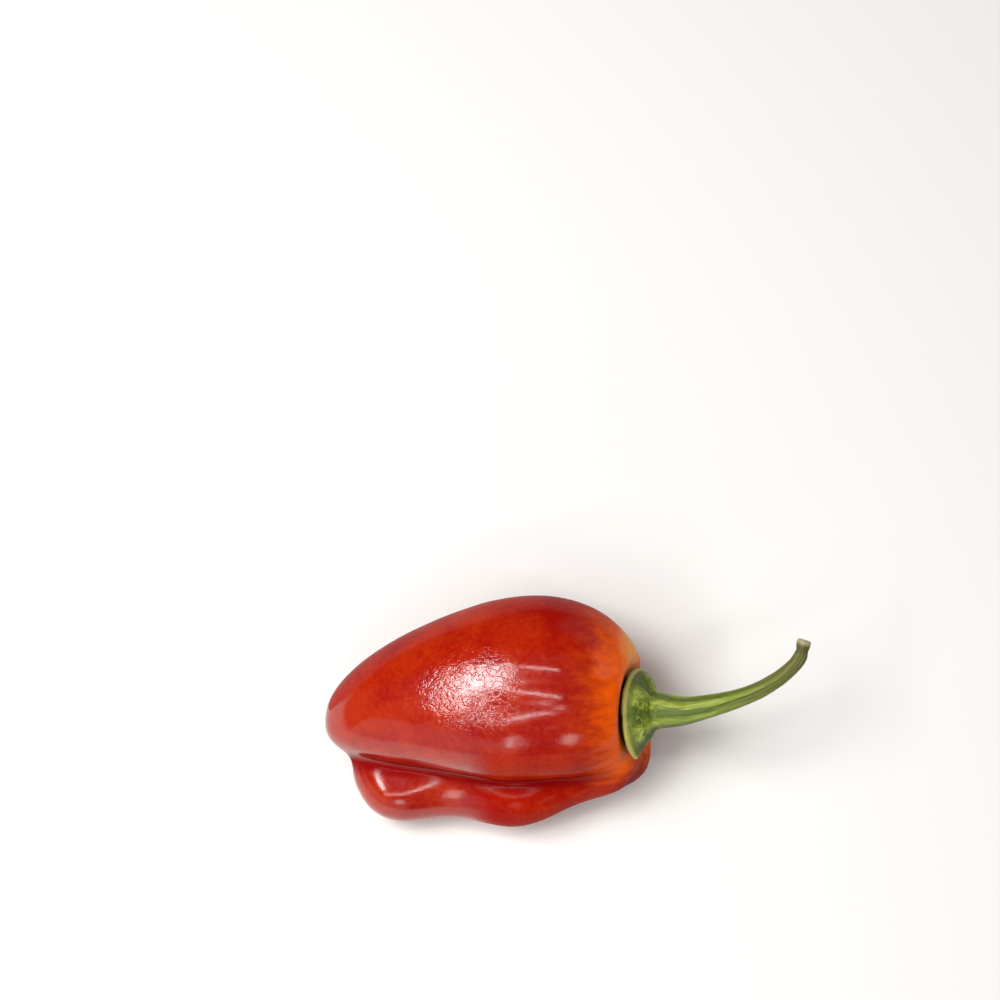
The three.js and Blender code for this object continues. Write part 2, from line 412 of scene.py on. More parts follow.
def closed_mesh(
    name: str, first: Array, rings: Array, last: Array, masks: dict[str, Array]
) -> bpy.types.Object:
    """Makes a closed object from rings of points between two single points.

    The rings turn anticlockwise as seen from the last point, so the faces point outwards.

    Args:
        name: The object's name.
        first: The point before the first ring.
        rings: Points by ring and column, with x, y and z last.
        last: The point after the last ring.
        masks: For each attribute's name, its value at every vertex, or a vector at every vertex.

    Returns:
        The object, at the origin, with its place in its mesh.
    """
    count, columns = rings.shape[:2]
    points = np.vstack([first[None], rings.reshape(-1, 3), last[None]])
    start = 1 + np.arange(count)[:, None] * columns
    here = np.arange(columns)[None, :]
    after = (here + 1) % columns
    sides = np.stack([start[:-1] + here, start[:-1] + after, start[1:] + after, start[1:] + here], -1)
    first_ring = start[0] + np.vstack([here, after])
    last_ring = start[-1] + np.vstack([here, after])
    opening = np.stack([np.zeros(columns, int), first_ring[1], first_ring[0]], -1)
    closing = np.stack([last_ring[0], last_ring[1], np.full(columns, 1 + count * columns)], -1)
    mesh = bpy.data.meshes.new(name)
    faces = sides.reshape(-1, 4).tolist() + opening.tolist() + closing.tolist()
    mesh.from_pydata(((points + POD_AXIS) * MM).tolist(), [], faces)
    mesh.polygons.foreach_set("use_smooth", np.ones(len(mesh.polygons), bool))
    for mask, values in masks.items():
        kind, part = ("FLOAT_VECTOR", "vector") if values.ndim == 2 else ("FLOAT", "value")
        attribute = mesh.attributes.new(mask, kind, "POINT")
        attribute.data.foreach_set(part, values.astype(np.float32).ravel())
    mesh.update()
    return linked(name, mesh)


def grid_normals(rings: Array) -> Array:
    """Outward unit normals: the step round a ring, crossed with the step to the next ring.

    Args:
        rings: Points by ring and column, with x, y and z last.

    Returns:
        The normal at each point.
    """
    round_ring = np.roll(rings, -1, axis=1) - np.roll(rings, 1, axis=1)
    to_next = np.gradient(rings, axis=0)
    normals = np.cross(round_ring, to_next)
    return normals / np.maximum(np.linalg.norm(normals, axis=-1, keepdims=True), LEAST_LENGTH)


@dataclass(frozen=True)
class SkinZones:
    """Where the skin's look changes: the span over which each zone fades in, in millimetres or degrees."""

    # Where the painted shadow lies on the front lobe below the fold's lip.
    fold: Spans = ((2.4, 0.6), (0.3, -0.6), (0.0, -4.0))
    # Where the painted shade in the calyx's seat lies.
    seat: Spans = ((4.9, 4.1), (-4.0, -3.0))
    far_side: Spans = ((78.0, 62.0), (-70.0, -30.0))
    stalk_end: Spans = ((11.0, 16.0), (-4.0, 0.0))
    lip: Spans = ((-3.0, 1.0), (122.0, 136.0))
    crinkled: Span = (8.0, 5.0)
    crinkled_place: Point = (-2.9, 0.7, 12.4)
    crinkle_least: float = 0.1
    # How wide the painted crease shade is where two lobes meet.
    crease_shade_width: float = 0.9
    # How much the creases' depth adds to the painted crease shade.
    furrow_share: float = 0.4
    rim_margin: float = 0.1


@dataclass
class Pod:
    """The red fruit: blended lobes with ribs, a wave, creases and the calyx's seat, and fine relief."""

    seat: Seat = Seat()
    zones: SkinZones = SkinZones()
    rows: int = 290
    columns: int = 330
    top_blend: float = 1.5
    blend: float = 0.45
    stem_blend: float = 0.5
    blend_widens: Span = (8.0, 17.0)
    rim: Rim = Rim()
    rib_height: float = 0.1
    soft_rib: float = 0.2
    rib_turn: float = 96.5
    rib_pitch: float = 17.0
    rib_narrowing: float = 4.5
    rib_sharpness: float = 0.15
    rib_softens: Span = (80.0, 68.0)
    rib_place: Spans = ((68.0, 78.0), (126.0, 110.0), (-4.0, 5.0), (18.0, 12.0))
    rib_narrows: Span = (0.0, 9.0)
    wave_height: float = 0.42
    wave_crest: float = 4.0
    wave_length: float = 16.5
    wave_place: Spans = ((-7.5, -12.0), (3.0, -2.0))
    spine_middle: Point = (0.5, -0.3, -3.2)
    spine_half: Point = (9.5, 0.3, 1.2)
    reach: float = 28.0
    steps: int = 52
    halvings: int = 16
    swell_height: float = 0.08
    swell_cell: float = 6.0
    swell_stretch: Point = (0.8, 1.0, 1.0)
    pucker_height: float = 0.035
    pucker_cell: float = 2.2
    pucker_stretch: Point = (0.6, 1.0, 1.0)
    relief_reach: float = 0.8
    flat_edge: Span = (0.02, 0.6)

    def relief(self, p: Array) -> Array:
        """How far the ribs and the wave lift the skin, less the depth of the creases.

        The ribs are the size of a sine of the turn about the axis, round on top and sharp between. They
        close up towards the stalk, and are softer on the viewer's side. The wave is a cosine of x.

        Args:
            p: Points, x, y and z last.

        Returns:
            The lift at each point.
        """
        x, y, z = p[..., 0], p[..., 1], p[..., 2]
        turn = np.degrees(np.arctan2(z, y))
        strength = self.soft_rib + (1.0 - self.soft_rib) * fade(turn, *self.rib_softens)
        place = within((turn, turn, x, x), self.rib_place) * strength
        phase = (turn - self.rib_turn) / (self.rib_pitch - self.rib_narrowing * fade(x, *self.rib_narrows))
        ribs = self.rib_height * (2.0 * np.hypot(np.sin(math.pi * phase), self.rib_sharpness) - 1.0) * place
        wave = self.wave_height * np.cos(TURN * (x - self.wave_crest) / self.wave_length)
        wave *= within((y, z), self.wave_place)
        return ribs + wave - sum(crease.depth_at(x, turn) for crease in CREASES)

    def folds(self, p: Array) -> list[Array]:
        """How far points are outside the top, in which two lobes merge softly, and outside each other lobe.

        Args:
            p: Points, x, y and z last.

        Returns:
            An array for the top and one for each other lobe, the front one first.
        """
        depth = {name: lobe.outside(p) for name, lobe in LOBES.items()}
        top = smooth_min([depth.pop("upper"), depth.pop("flank")], self.top_blend)
        return [top, *depth.values()]

    def outside(self, p: Array) -> Array:
        """How far points are outside the pod: the blended lobes less the relief, cut by the calyx's seat.

        The top and the front lobe run into each other towards the stalk, so their blend widens there.

        Args:
            p: Points, x, y and z last.

        Returns:
            Negative values inside the pod and positive ones outside.
        """
        top, front, *others = self.folds(p)
        width = self.blend + self.stem_blend * fade(p[..., 0], *self.blend_widens)
        near_side = smooth_min([top, front], width)
        body = smooth_min([near_side, *others], self.blend) - self.relief(p)
        return smooth_max(body, -self.seat.outside(p), self.seat.blend)

    def skin(self, swing: Array, turn: Array) -> Array:
        """Skin points along rays from the slanted spine.

        Each ray marches to the first place outside the pod, and then the last step is halved many times.

        Args:
            swing: Each ray's angle from +x.
            turn: Each ray's turn about x from +y.

        Returns:
            The points, with x, y and z last.
        """
        across = np.sin(swing)
        direction = np.stack([np.cos(swing), across * np.cos(turn), across * np.sin(turn)], -1)
        origin = np.array(self.spine_middle) + np.cos(swing)[..., None] * np.array(self.spine_half)
        step = self.reach / self.steps
        outer = np.full(swing.shape, self.reach)
        found = np.zeros(swing.shape, bool)
        for k in range(1, self.steps + 1):
            left = ~found
            fresh = np.zeros(swing.shape, bool)
            fresh[left] = self.outside(origin[left] + direction[left] * (k * step)) > 0.0
            outer[fresh] = k * step
            found |= fresh
            if found.all():
                break
        inner = outer - step
        for _ in range(self.halvings):
            middle = (inner + outer) / 2.0
            out = self.outside(origin + direction * middle[..., None]) > 0.0
            outer = np.where(out, middle, outer)
            inner = np.where(out, inner, middle)
        points = origin + direction * inner[..., None]
        points[..., 2] = np.maximum(points[..., 2], TABLE)
        return points

    def fine_relief(self, p: Array) -> Array:
        """The small unevenness of the skin: broad swells and puckers, lowered to stay within the solid.

        Args:
            p: Points on the skin.

        Returns:
            The lift along the normal, which is 0 on the flat spots.
        """
        swells = unevenness(p * np.array(self.swell_stretch), self.swell_cell, Seed.SWELLS)
        puckers = unevenness(p * np.array(self.pucker_stretch), self.pucker_cell, Seed.PUCKERS)
        highest = self.relief_reach * (self.swell_height + self.pucker_height)
        lift = self.swell_height * swells + self.pucker_height * puckers - highest
        return lift * fade(p[..., 2] - TABLE, *self.flat_edge)

    def masks(self, p: Array) -> dict[str, Array]:
        """Values that the skin's material reads.

        Args:
            p: The skin's vertices.

        Returns:
            to_calyx, the distance from the calyx's rim; valley, painted crease shade from 0 on a lobe to 1
            where two lobes meet; under, painted shadow from 0 to 1 on the front lobe below the fold's lip;
            seat, 1 under the calyx, where shade is painted; dull, from 0 where the skin shines to 1 where it
            doesn't; and crinkle, the share of the crinkles' full height.
        """
        zones = self.zones
        x, y, z = p[..., 0], p[..., 1], p[..., 2]
        height, across = self.seat.height_and_radius(p)
        covered = self.rim.radius_at(self.seat.turn(p)) - zones.rim_margin
        to_calyx = np.hypot(np.maximum(across - covered, 0.0), np.minimum(height, 0.0))
        depths = self.folds(p)
        low = np.minimum.reduce(depths)
        # Painted crease shade: the sum grows past 1 where two lobes are about as near, and the creases add
        # to it.
        near = sum(np.exp((low - depth) / zones.crease_shade_width) for depth in depths)
        turn = np.degrees(np.arctan2(z, y))
        furrow = sum(crease.depth_at(x, turn) for crease in CREASES)
        # Painted shadow on the front lobe below the fold's lip.
        under = within((depths[0], depths[1] - depths[0], y), zones.fold)
        far_side = 0.75 * within((turn, turn), zones.far_side)
        stalk_end = 0.6 * within((x, z), zones.stalk_end)
        lip = 0.85 * within((x, turn % 360.0), zones.lip)
        from_patch = np.linalg.norm(p - np.array(zones.crinkled_place), axis=-1)
        more = 1.0 - zones.crinkle_least
        return {
            "to_calyx": to_calyx,
            "crease_shade": np.clip(near - 1.0 + zones.furrow_share * furrow, 0.0, 1.0),
            "under": under,
            # seat: where shade is painted in the hollow under the calyx.
            "seat": within((across, height), zones.seat),
            "dull": np.maximum.reduce([0.9 * under, far_side, stalk_end, lip]),
            "crinkle": zones.crinkle_least + more * fade(from_patch, *zones.crinkled),
        }

    def build(self) -> bpy.types.Object:
        """Makes the pod's fine mesh with the attributes of its skin.

        Returns:
            The pod.
        """
        swing = math.pi * (1.0 - np.arange(1, self.rows) / self.rows)
        turn = TURN * np.arange(self.columns) / self.columns
        swings, turns = np.meshgrid(swing, turn, indexing="ij")
        rings = self.skin(swings, turns)
        rings = rings + grid_normals(rings) * self.fine_relief(rings)[..., None]
        rings[..., 2] = np.maximum(rings[..., 2], TABLE)
        first, last = self.skin(np.array([math.pi, 0.0]), np.zeros(2))
        first[0] -= self.fine_relief(first)
        last[0] += self.fine_relief(last)
        every = np.vstack([first[None], rings.reshape(-1, 3), last[None]])
        return closed_mesh("pod_skin", first, rings, last, self.masks(every))


@dataclass
class CalyxAndStalk:
    """The green calyx and its stalk: rings about the stalk's course, from the underside to the cut end."""

    seat: Seat = Seat()
    rim: Rim = Rim()
    columns: int = 180
    under_rings: int = 10
    rim_rings: int = 13
    flare_rings: int = 60
    shaft_rings: int = 240
    gap: float = 0.43
    thickness: float = 0.66
    flare_end: float = 4.6
    flare_fall: float = 1.5
    flare_ridge: float = 0.25
    shoulder_power: float = 6.0
    stalk_radius: float = 0.72
    swell: float = 2.6
    swell_length: float = 9.0
    ridge: float = 0.07
    ridge_tip: float = 0.03
    twist: float = 0.03
    tip_knob: Bell = Bell(0.1, 0.5, 0.5)
    tip_neck: Bell = Bell(-0.08, 1.5, 0.35)
    tip_round: float = 0.35
    tip_flat: float = 0.6
    lump_height: float = 0.09
    lump_cell: float = 1.7
    wrinkle_height: float = 0.04
    wrinkle_cell: float = 0.6
    knot_height: float = 0.2
    knot_cell: float = 1.0
    knots: Spans = ((6.5, 3.5), (6.0, 4.6))
    end_margin: float = 0.04
    end_smooth: Span = (2.5, 0.5)
    pale_rim: Spans = ((0.42, 0.28), (12.0, 16.0))
    dark_line: Spans = ((0.3, 0.44), (0.95, 0.6))
    tooth_starts: Span = (4.4, 5.6)
    # Where the painted shade on the stalk's lower side starts along it, and the turn opposite its darkest
    # side.
    underside_shade_starts: Span = (4.0, 6.5)
    underside_shade_turn: float = 0.3
    plate: Spans = ((7.0, 4.0), (18.0, 30.0))
    fibre_circle: float = 6.0
    fibre_rise: float = 0.35
    course: tuple[Point, ...] = (
        (17.85, -0.1, 0.8), (21.54, -0.42, 2.3), (25.2, -0.72, 3.65), (28.8, -0.25, 4.9), (32.0, 0.5, 5.9),
        (35.3, 1.7, 6.9), (38.0, 3.4, 7.8), (39.8, 5.3, 8.5), (40.5, 7.6, 9.1),
    )
    course_steps: int = 800

    def spline(self, share: Array) -> tuple[Array, Array]:
        """The stalk's course, a Catmull-Rom curve: cubics between the points, led by their neighbours.

        Args:
            share: Shares of the way by number of points, from 0 to 1.

        Returns:
            Places and unit directions.
        """
        points = np.array(self.course)
        points = np.vstack([2 * points[0] - points[1], points, 2 * points[-1] - points[-2]])
        spans = len(points) - 3
        k = np.minimum((share * spans).astype(int), spans - 1)
        w = (share * spans - k)[:, None]
        a, b, c, d = points[k], points[k + 1], points[k + 2], points[k + 3]
        square, cube = 2 * a - 5 * b + 4 * c - d, 3 * b - a - 3 * c + d
        place = 0.5 * (2 * b + (c - a) * w + square * w ** 2 + cube * w ** 3)
        slope = 0.5 * ((c - a) + 2 * square * w + 3 * cube * w ** 2)
        return place, slope / np.linalg.norm(slope, axis=1, keepdims=True)

    def run(self) -> tuple[Array, Array]:
        """Measures the course.

        Returns:
            Shares of the way, and the distance covered at each.
        """
        share = np.linspace(0.0, 1.0, self.course_steps + 1)
        place, _ = self.spline(share)
        return share, np.concatenate([[0.0], np.cumsum(np.linalg.norm(np.diff(place, axis=0), axis=1))])

    def shaft(self, height: Array, length: float) -> Array:
        """The stalk's mean radius: a slim shaft, an exponential swell to the calyx, and a knob and neck.

        Args:
            height: Heights along the course.
            length: The course's length.

        Returns:
            The radius at each height.
        """
        tip = self.tip_knob.at(length - height) + self.tip_neck.at(length - height)
        return self.stalk_radius + self.swell * np.exp(-height / self.swell_length) + tip

    def profile(self, turn: Array, length: float) -> tuple[Array, Array]:
        """Each ring's radius, and its height along the course, at each turn.

        The underside follows the seat's bowl, the rim is half round, the plate lies on the bowl and runs
        into a flare whose height falls with the root of the distance from the shaft, and the ridged shaft
        ends in a low dome.

        Args:
            turn: Turns about the course, one a column.
            length: The course's length.

        Returns:
            Radii and heights, by ring and column.
        """
        half = self.thickness / 2
        rim = self.rim.radius_at(turn) - half
        ridge = np.cos(self.rim.lobes * turn)
        radii, heights = [], []

        def under(radius: Array) -> Array:
            """The underside's height at a radius."""
            return self.seat.bowl(radius) + self.gap + self.rim.sag(turn, radius)

        for share in np.linspace(1.0 / self.under_rings, 1.0, self.under_rings) ** 0.8:
            radii.append(share * rim)
            heights.append(under(share * rim))
        for swing in np.radians(np.linspace(-60.0, 90.0, self.rim_rings)):
            radii.append(rim + half * math.cos(swing))
            heights.append(under(rim) + half * (1.0 + math.sin(swing)))
        shoulder = self.flare_end - self.flare_fall - under(rim) - self.thickness
        for left in np.linspace(1.0, 0.0, self.flare_rings + 1)[1:]:
            lift = self.flare_ridge * ridge * HUMP * left ** 2 * (1.0 - left)
            fall = self.flare_fall * left + shoulder * left ** self.shoulder_power
            heights.append(self.flare_end - fall + lift)
            inner = self.shaft(heights[-1], length) * (1.0 + self.ridge * ridge)
            radii.append(inner + (rim - inner) * left ** 2)
        shaft_end = length - self.tip_round
        for height in np.linspace(self.flare_end, shaft_end, self.shaft_rings + 1)[1:]:
            share = (height - self.flare_end) / (length - self.flare_end)
            depth = self.ridge + (self.ridge_tip - self.ridge) * share
            twisted = self.rim.lobes * turn - self.twist * (height - self.flare_end)
            radii.append(self.shaft(height, length) * (1.0 + depth * np.cos(twisted)))
            heights.append(np.full(turn.shape, height))
        end = radii[-1]
        for swing in np.radians([15.0, 30.0, 45.0, 60.0, 75.0, 88.0]):
            radii.append(end * (self.tip_flat + (1.0 - self.tip_flat) * math.cos(swing)))
            heights.append(np.full(turn.shape, shaft_end + self.tip_round * math.sin(swing)))
        for share in (0.4, 0.2):
            radii.append(end * share)
            heights.append(np.full(turn.shape, length))
        return np.array(radii), np.array(heights)

    def fibre(self, turn: Array, height: Array, radius: Array) -> Array:
        """Coordinates that stretch along the fibres.

        Args:
            turn: Turns about the course.
            height: Heights along it.
            radius: Distances from it.

        Returns:
            Places on a wide circle by the turn, with a slow rise along the piece.
        """
        rise = self.fibre_rise * (height - radius)
        return np.stack([self.fibre_circle * np.cos(turn), self.fibre_circle * np.sin(turn), rise], -1)

    def masks(
        self, turn: Array, radius: Array, row: Array, height: Array
    ) -> dict[str, Array]:
        """Values that the finish reads.

        Args:
            turn: Each vertex's turn about the course.
            radius: Its distance from it.
            row: The number of its ring.
            height: Its height along it.

        Returns:
            rim, 1 on the pale edge; line, 1 on the dark line within it; tooth, 1 on the drooping tooth;
            below, painted shade from 0 to 1 under the stalk; plate, from 0 on the shaft to 1 on the calyx;
            ridge, from -1 in a groove to 1 on a ridge; and fibre, coordinates that stretch along the fibres.
        """
        from_rim = self.rim.radius_at(turn) - radius
        on_plate = height < self.flare_end
        twist = self.twist * np.maximum(height - self.flare_end, 0.0)
        tooth = self.rim.droop.at(degrees_round(turn)) / self.rim.droop.height
        # Painted shade on the stalk's lower side, away from the light.
        underside = (0.5 - 0.5 * np.cos(turn - self.underside_shade_turn)) ** 2
        return {
            "rim": within((from_rim, row), self.pale_rim) * on_plate,
            "line": within((from_rim, from_rim), self.dark_line) * on_plate,
            "tooth": tooth * fade(radius, *self.tooth_starts) * on_plate,
            "below": underside * fade(height, *self.underside_shade_starts),
            "plate": within((height, row), self.plate),
            "ridge": np.cos(self.rim.lobes * turn - twist) * (radius > 0.0),
            "fibre": self.fibre(turn, height, radius),
        }

    def build(self) -> bpy.types.Object:
        """Makes the fine mesh of the calyx and stalk with the attributes of its finish.

        Returns:
            The calyx and stalk.
        """
        shares, distance = self.run()
        length = distance[-1]
        turn = TURN * np.arange(self.columns) / self.columns
        radii, heights = self.profile(turn, length)
        place, direction = self.spline(np.interp(heights.ravel(), distance, shares))
        side = np.cross([0.0, 0.0, 1.0], direction)
        side /= np.linalg.norm(side, axis=1, keepdims=True)
        up = np.cross(direction, side)
        turns = np.broadcast_to(turn, radii.shape)
        out = np.cos(turns).reshape(-1, 1) * side + np.sin(turns).reshape(-1, 1) * up
        rings = (place + radii.reshape(-1, 1) * out).reshape(radii.shape + (3,))
        fibres = self.fibre(turns, heights, radii)
        left = length - heights
        smooth, end = self.end_smooth
        knots = self.knot_height * within((heights, radii), self.knots)
        relief = self.lump_height * unevenness(fibres, self.lump_cell, Seed.LUMPS)
        relief += self.wrinkle_height * unevenness(fibres, self.wrinkle_cell, Seed.WRINKLES)
        relief += knots * unevenness(rings, self.knot_cell, Seed.KNOTS)
        relief *= fade(left, 0.0, smooth)
        relief -= self.end_margin * fade(left, smooth, end)
        rings = rings + grid_normals(rings) * relief[..., None]
        first, _ = self.spline(np.interp([self.gap], distance, shares))
        last, heading = self.spline(np.array([1.0]))
        last -= self.end_margin * heading
        turn, radius, row = (
            np.concatenate([[0.0], values.ravel(), [0.0]])
            for values in (turns, radii, np.indices(radii.shape)[0])
        )
        height = np.concatenate([[self.gap], heights.ravel(), [length]])
        masks = self.masks(turn, radius, row, height) | {"height": height / length}
        return closed_mesh("green_calyx_and_stalk", first[0], rings, last[0], masks)


class Value:
    """A shader socket that can be used in Python arithmetic; each operation adds a Math node."""

    def __init__(self, nodes: "Nodes", socket: bpy.types.NodeSocket) -> None:
        """Wraps an output socket of the tree that nodes builds."""
        self.nodes = nodes
        self.socket = socket

    def _math(self, operation: str, *values: "Value | float") -> "Value":
        """Adds a Math node."""
        return self.nodes.add("ShaderNodeMath", {"operation": operation}, list(values))

    def __add__(self, other: "Value | float") -> "Value":
        """Adds."""
        return self._math("ADD", self, other)

    def __sub__(self, other: "Value | float") -> "Value":
        """Subtracts."""
        return self._math("SUBTRACT", self, other)

    def __rsub__(self, other: float) -> "Value":
        """Subtracts from a number."""
        return self._math("SUBTRACT", other, self)

    def __mul__(self, other: "Value | float") -> "Value":
        """Multiplies."""
        return self._math("MULTIPLY", self, other)

    __radd__ = __add__
    __rmul__ = __mul__

    def ramp(self, start: float, full: float) -> "Value":
        """Rises smoothly from 0 at start to 1 at full."""
        inputs = {"Value": self, "From Min": start, "From Max": full}
        return self.nodes.add("ShaderNodeMapRange", {"interpolation_type": "SMOOTHSTEP"}, inputs)


@dataclass
class Nodes:
    """Builds one material's node tree."""

    material: bpy.types.Material

    @classmethod
    def start(cls, name: str) -> "Nodes":
        """Makes a material with an empty tree and an output.

        Args:
            name: The material's name.

        Returns:
            The builder of its tree.
        """
        material = bpy.data.materials.new(name)
        material.use_nodes = True
        material.node_tree.nodes.clear()
        return cls(material)

    def add(
        self,
        kind: str,
        settings: dict[str, object],
        inputs: dict[str | int, object] | list[object],
        output: str | int = 0,
    ) -> Value:
        """Adds a node, sets it up, and links or sets its inputs.

        Args:
            kind: The node's type.
            settings: Its own settings, which are set first.
            inputs: Values or links by the socket's name or number, or in order.
            output: Which output to return.

        Returns:
            That output, which is empty for a node that has none.
        """
        node = self.material.node_tree.nodes.new(kind)
        for key, value in settings.items():
            setattr(node, key, value)
        pairs = inputs.items() if isinstance(inputs, dict) else enumerate(inputs)
        for key, value in pairs:
            socket = node.inputs[key]
            if isinstance(value, Value):
                self.material.node_tree.links.new(value.socket, socket)
            else:
                socket.default_value = value
        return Value(self, node.outputs[output]) if len(node.outputs) else Value(self, None)

    def mix(self, factor: Value | float, first: object, second: object) -> Value:
        """Mixes two colours.

        Args:
            factor: 0 for the first and 1 for the second.
            first: A colour or a link.
            second: A colour or a link.

        Returns:
            The mixed colour.
        """
        return self.add("ShaderNodeMix", {"data_type": "RGBA"}, {0: factor, 6: first, 7: second}, 2)

    def layered(self, body: Value, *layers: tuple[Value, Colour]) -> Value:
        """Lays colours over a body colour, one after the other.

        Args:
            body: The body colour.
            layers: Each layer's share, from 0 to 1, and its colour.

        Returns:
            The colour on top.
        """
        for share, colour in layers:
            body = self.mix(share, body, colour)
        return body

    def attribute(self, name: str, output: str = "Fac") -> Value:
        """Reads one of the piece's own attributes."""
        return self.add("ShaderNodeAttribute", {"attribute_name": name}, {}, output)

    def place(self, scale: Point = (1.0, 1.0, 1.0)) -> Value:
        """Object coordinates in millimetres from the pod's axis.

        Args:
            scale: How they are stretched along x, y and z.

        Returns:
            The coordinates.
        """
        inputs = {
            "Vector": self.add("ShaderNodeTexCoord", {}, {}, "Object"),
            "Location": tuple(-value * part for value, part in zip(POD_AXIS, scale)),
            "Scale": tuple(value / MM for value in scale),
        }
        return self.add("ShaderNodeMapping", {}, inputs)

    def noise(self, vector: Value, scale: float, detail: float = 2.0, distortion: float = 0.0) -> Value:
        """Noise from 0 to 1, about 0.5.

        Args:
            vector: Where to read it.
            scale: Cells a unit.
            detail: Finer layers.
            distortion: How far it is warped.

        Returns:
            The noise.
        """
        inputs = {"Vector": vector, "Scale": scale, "Detail": detail, "Distortion": distortion}
        return self.add("ShaderNodeTexNoise", {}, {**inputs, "Roughness": 0.55})

    def warped(self, scale: Point, cells: float, reach: float) -> Value:
        """Coordinates in millimetres, shifted about by noise.

        Args:
            scale: The stretch along x, y and z.
            cells: Cells of the noise a unit.
            reach: How far it shifts them.

        Returns:
            The shifted coordinates.
        """
        place = self.place(scale)
        noise = self.add("ShaderNodeTexNoise", {}, {"Vector": place, "Scale": cells, "Detail": 2.0}, "Color")
        shift = (reach, reach, reach)
        return self.add("ShaderNodeVectorMath", {"operation": "MULTIPLY_ADD"}, [noise, shift, place])

    def bump(self, height: Value, distance: float, below: Value | None = None) -> Value:
        """Turns a height from 0 to 1 into a normal.

        Args:
            height: The height.
            distance: How high 1 is, in metres.
            below: A normal to add it to.

        Returns:
            The normal.
        """
        inputs: dict[str, object] = {"Height": height, "Distance": distance, "Strength": 1.0}
        if below is not None:
            inputs["Normal"] = below
        return self.add("ShaderNodeBump", {}, inputs)

    def surface(self, inputs: dict[str, object]) -> Value:
        """Adds a surface shader with its values and links by socket name."""
        return self.add("ShaderNodeBsdfPrincipled", {}, inputs)

    def finish(self, surface: Value) -> bpy.types.Material:
        """Adds the output of a surface shader and returns the material."""
        self.add("ShaderNodeOutputMaterial", {}, {"Surface": surface})
        return self.material


@dataclass(frozen=True)
class SkinFinish:
    """Glossy waxy skin: red, orange and tan towards the calyx, finely crinkled.

    Shade is painted in as darker colour where lobes meet, below the fold's lip and in the calyx's seat.
    """

    red: Colour = srgb(148, 12, 3)
    bright: Colour = srgb(170, 40, 6)
    # The dark red of painted shade, in the creases and below the fold's lip.
    shade_red: Colour = srgb(126, 3, 4)
    orange: Colour = srgb(250, 98, 3)
    tan: Colour = srgb(248, 168, 78)
    # Painted shade: the dark brown of the seat's hollow under the calyx's rim.
    seat_shade: Colour = srgb(116, 62, 18)
    olive: Colour = srgb(168, 104, 20)
    crack_depth: float = 0.016 * MM
    crinkle_height: float = 0.026 * MM
    pore_height: float = 0.004 * MM
    blotches: Span = (0.36, 0.66)
    # Where the painted crease shade fades in.
    creases: Span = (0.15, 0.8)
    orange_reach: Span = (8.0, 1.0)
    tan_place: Point = (18.6, 6.6, 4.6)
    tan_reach: Span = (4.6, 1.4)
    olive_reach: Span = (1.9, 0.8)
    olive_starts: Span = (-1.0, 3.0)
    crack_width: Span = (0.0, 0.13)
    crack_patches: Span = (0.38, 0.56)
    stretch: Point = (0.8, 1.0, 1.0)
    streak_stretch: Point = (0.22, 1.0, 1.0)

    def material(self) -> bpy.types.Material:
        """Builds the skin's material.

        Returns:
            The material.
        """
        nodes = Nodes.start("ripe_red_skin")
        to_calyx = nodes.attribute("to_calyx")
        crinkle = nodes.attribute("crinkle")
        seat = nodes.attribute("seat")
        blotches = nodes.noise(nodes.place(), 0.16, 3.0)
        streaks = nodes.noise(nodes.place(self.streak_stretch), 0.9, 3.0)
        mottle = nodes.noise(nodes.place(), 1.6, 3.0)
        far_side = nodes.add("ShaderNodeSeparateXYZ", {}, [nodes.place()], "Y")
        upper = nodes.add("ShaderNodeSeparateXYZ", {}, [nodes.place()], "Z").ramp(*self.olive_starts)
        ends = [nodes.place(), self.tan_place]
        spot = nodes.add("ShaderNodeVectorMath", {"operation": "DISTANCE"}, ends, "Value")
        edge = to_calyx - (streaks - 0.5) * 5.0 - far_side * 0.22
        body = nodes.layered(
            nodes.mix((blotches * 0.7 + mottle * 0.3).ramp(*self.blotches), self.red, self.bright),
            # Painted crease shade: darker red where lobes meet and along the creases.
            (nodes.attribute("crease_shade").ramp(*self.creases) * 0.9, self.shade_red),
            # Painted shadow below the fold's lip.
            (nodes.attribute("under") * 0.9, self.shade_red),
            (edge.ramp(*self.orange_reach) * 0.95, self.orange),
            ((spot + (streaks - 0.5) * 3.0).ramp(*self.tan_reach) * 0.8, self.tan),
            ((to_calyx + streaks).ramp(*self.olive_reach) * upper * 0.6, self.olive),
            # Painted shade in the seat under the calyx's rim.
            (seat * 0.9, self.seat_shade),
        )
        cracks = nodes.add(
            "ShaderNodeTexVoronoi",
            {"feature": "DISTANCE_TO_EDGE"},
            {"Vector": nodes.warped(self.stretch, 1.5, 0.9), "Scale": 1.5},
            "Distance",
        )
        crinkles = nodes.noise(nodes.place(self.stretch), 1.1, 2.0, 0.8)
        pores = nodes.noise(nodes.place(), 5.5, 1.0)
        between = cracks.ramp(*self.crack_width) * crinkle * crinkles.ramp(*self.crack_patches)
        normal = nodes.bump(between, self.crack_depth)
        normal = nodes.bump(crinkles * crinkle, self.crinkle_height, normal)
        normal = nodes.bump(pores, self.pore_height, normal)
        skin = {"Base Color": body, "Normal": normal}
        glossy = nodes.surface({**skin, "Roughness": 0.06 + mottle * 0.18, "IOR": 1.62})
        dull = nodes.surface({**skin, "Roughness": 0.6, "Specular IOR Level": 0.0})
        share = nodes.attribute("dull") + seat * 0.8
        return nodes.finish(nodes.add("ShaderNodeMixShader", {}, [share, glossy, dull]))


